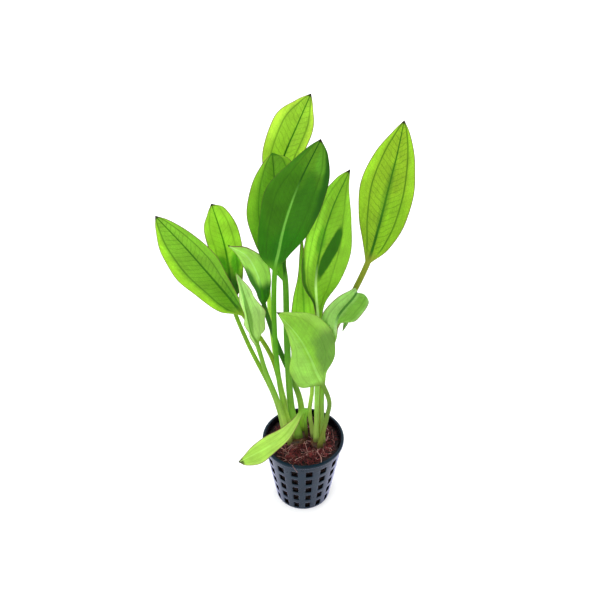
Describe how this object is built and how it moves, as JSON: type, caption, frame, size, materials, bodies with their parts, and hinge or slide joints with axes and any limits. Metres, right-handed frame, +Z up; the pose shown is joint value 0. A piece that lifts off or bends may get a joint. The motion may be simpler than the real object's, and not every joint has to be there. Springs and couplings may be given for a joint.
{
  "type": "potted amazon sword plant",
  "caption": "Young amazon sword plant with broad stalked leaves rising from short crowns in a tapered plastic net pot filled with coco fibre.",
  "frame": {"origin": "middle of the pot's underside, on the surface that it stands on", "axes": "+Z up along the pot's axis, +X to the right and -Y to the front as the plant is seen"},
  "size_m": [0.133, 0.0765, 0.2521],
  "materials": {
    "pot_plastic": "semi-gloss",
    "coco_fibre": "damp and rough",
    "crown_bark": "matte",
    "leaf_young": "satin",
    "leaf_green": "satin",
    "leaf_deep": "satin",
    "leaf_pale": "satin"
  },
  "bodies": {
    "root": {"net_pot": "pot_plastic", "soil_plug": "coco_fibre", "crown_left": "crown_bark", "crown_right": "crown_bark", "leaf_far_left": "leaf_green", "leaf_left_back": "leaf_green", "leaf_left_folded": "leaf_pale", "leaf_left_arching": "leaf_pale", "leaf_top": "leaf_young", "leaf_front_tall": "leaf_deep", "leaf_centre_back": "leaf_green", "leaf_right_centre": "leaf_green", "leaf_far_right": "leaf_green", "leaf_right_curled": "leaf_pale", "leaf_front_low": "leaf_young", "leaf_over_rim": "leaf_young", "leaf_right_back": "leaf_young"}
  },
  "joints": []
}
